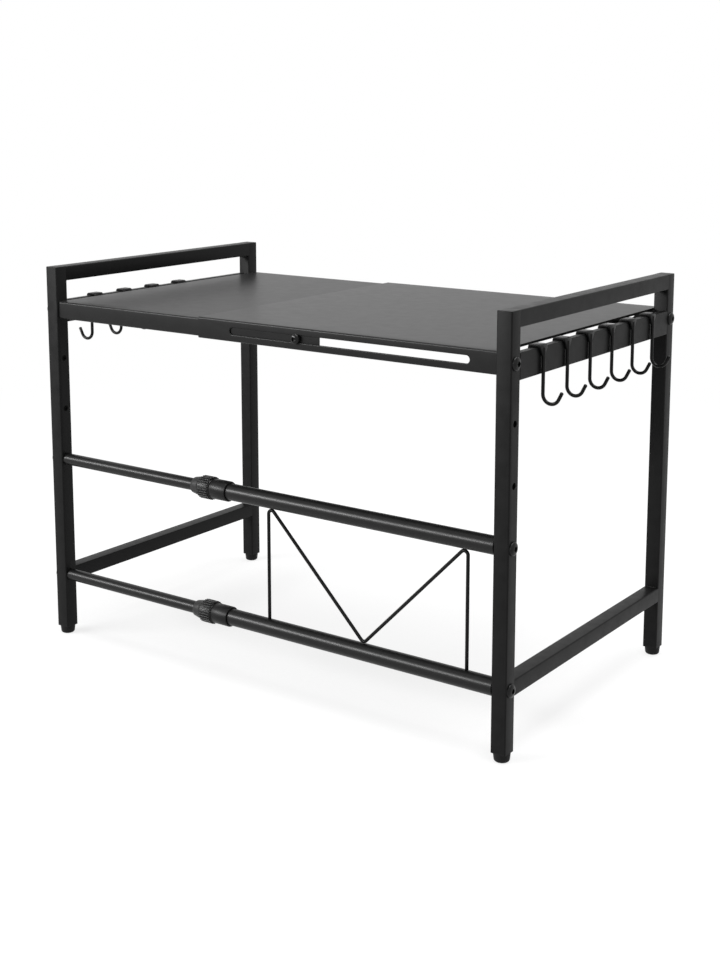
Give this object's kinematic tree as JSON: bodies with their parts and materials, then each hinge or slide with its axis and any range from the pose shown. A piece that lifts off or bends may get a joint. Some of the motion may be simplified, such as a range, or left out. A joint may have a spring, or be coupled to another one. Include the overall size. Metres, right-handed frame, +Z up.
{
  "type": "expandable microwave shelf",
  "caption": "Width-adjustable countertop microwave stand: two square-tube end frames, a telescoping sheet shelf, twist-lock front rods with a wire brace, and sliding side hooks.",
  "frame": {"origin": "on the floor under the middle of the stand at its stored width", "axes": "+X across the width towards the thick-tube half, +Y towards the rear, +Z up"},
  "size_m": [0.6362, 0.3524, 0.422],
  "materials": {
    "coat": "satin black powder coat",
    "plastic": "matte black moulded plastic",
    "foot": "matte black moulded plastic",
    "bolt": "gloss black oxide",
    "wire": "satin black coat",
    "zinc": "zinc-plated"
  },
  "bodies": {
    "right_half": {"right_front_post": "coat", "right_front_foot": "foot", "right_front_weld_nut": "zinc", "right_front_shelf_bolt": "bolt", "right_rear_post": "coat", "right_rear_foot": "foot", "right_rear_weld_nut": "zinc", "right_rear_shelf_bolt": "bolt", "right_top_bar": "coat", "right_lower_rail": "coat", "right_shelf_rail": "coat", "right_upper_rod_bolt": "bolt", "right_lower_rod_bolt": "bolt", "outer_panel": "coat", "front_brace": "coat", "upper_thick_tube": "coat", "upper_right_insert": "zinc", "upper_sleeve": "plastic", "upper_lock_jaw": "plastic", "lower_thick_tube": "coat", "lower_right_insert": "zinc", "lower_sleeve": "plastic", "lower_lock_jaw": "plastic"},
    "left_half": {"left_front_post": "coat", "left_front_foot": "foot", "left_front_weld_nut": "zinc", "left_front_shelf_bolt": "bolt", "left_rear_post": "coat", "left_rear_foot": "foot", "left_rear_weld_nut": "zinc", "left_rear_shelf_bolt": "bolt", "left_top_bar": "coat", "left_lower_rail": "coat", "left_shelf_rail": "coat", "left_upper_rod_bolt": "bolt", "left_lower_rod_bolt": "bolt", "inner_panel": "coat", "front_clamp_nut": "zinc", "rear_clamp_nut": "zinc", "upper_thin_tube": "coat", "upper_left_insert": "zinc", "lower_thin_tube": "coat", "lower_left_insert": "zinc"},
    "upper_lock": {"upper_lock_nut": "plastic"},
    "lower_lock": {"lower_lock_nut": "plastic"},
    "front_clamp": {"front_clamp_screw": "bolt"},
    "rear_clamp": {"rear_clamp_screw": "bolt"},
    "right_hook_1": {"right_hook_1": "wire"},
    "right_hook_2": {"right_hook_2": "wire"},
    "right_hook_3": {"right_hook_3": "wire"},
    "right_hook_4": {"right_hook_4": "wire"},
    "right_hook_5": {"right_hook_5": "wire"},
    "right_hook_6": {"right_hook_6": "wire"},
    "left_hook_1": {"left_hook_1": "wire"},
    "left_hook_2": {"left_hook_2": "wire"},
    "left_hook_3": {"left_hook_3": "wire"},
    "left_hook_4": {"left_hook_4": "wire"}
  },
  "joints": [
    {"name": "width_slide", "type": "slide", "parent": "right_half", "child": "left_half", "axis": [-1, 0, 0], "range_m": [-0.178, 0.078]},
    {"name": "upper_lock_turn", "type": "hinge", "parent": "right_half", "child": "upper_lock", "pos_m": [-0.074, -0.1645, 0.205], "axis": [1, 0, 0], "range_deg": [0, 180]},
    {"name": "lower_lock_turn", "type": "hinge", "parent": "right_half", "child": "lower_lock", "pos_m": [-0.074, -0.1645, 0.07], "axis": [1, 0, 0], "range_deg": [0, 180]},
    {"name": "front_clamp_turn", "type": "hinge", "parent": "left_half", "child": "front_clamp", "pos_m": [0.0535, -0.174, 0.3745], "axis": [0, -1, 0], "range_deg": [0, 360]},
    {"name": "rear_clamp_turn", "type": "hinge", "parent": "left_half", "child": "rear_clamp", "pos_m": [0.0535, 0.174, 0.3745], "axis": [0, 1, 0], "range_deg": [0, 360]},
    {"name": "right_hook_1_slide", "type": "slide", "parent": "right_half", "child": "right_hook_1", "axis": [0, 1, 0], "range_m": [-0.031, 0.016]},
    {"name": "right_hook_2_slide", "type": "slide", "parent": "right_half", "child": "right_hook_2", "axis": [0, 1, 0], "range_m": [-0.016, 0.016]},
    {"name": "right_hook_3_slide", "type": "slide", "parent": "right_half", "child": "right_hook_3", "axis": [0, 1, 0], "range_m": [-0.016, 0.016]},
    {"name": "right_hook_4_slide", "type": "slide", "parent": "right_half", "child": "right_hook_4", "axis": [0, 1, 0], "range_m": [-0.016, 0.016]},
    {"name": "right_hook_5_slide", "type": "slide", "parent": "right_half", "child": "right_hook_5", "axis": [0, 1, 0], "range_m": [-0.016, 0.016]},
    {"name": "right_hook_6_slide", "type": "slide", "parent": "right_half", "child": "right_hook_6", "axis": [0, 1, 0], "range_m": [-0.016, 0.0335]},
    {"name": "left_hook_1_slide", "type": "slide", "parent": "left_half", "child": "left_hook_1", "axis": [0, 1, 0], "range_m": [-0.046, 0.016]},
    {"name": "left_hook_2_slide", "type": "slide", "parent": "left_half", "child": "left_hook_2", "axis": [0, 1, 0], "range_m": [-0.016, 0.016]},
    {"name": "left_hook_3_slide", "type": "slide", "parent": "left_half", "child": "left_hook_3", "axis": [0, 1, 0], "range_m": [-0.016, 0.016]},
    {"name": "left_hook_4_slide", "type": "slide", "parent": "left_half", "child": "left_hook_4", "axis": [0, 1, 0], "range_m": [-0.016, 0.1119]}
  ]
}
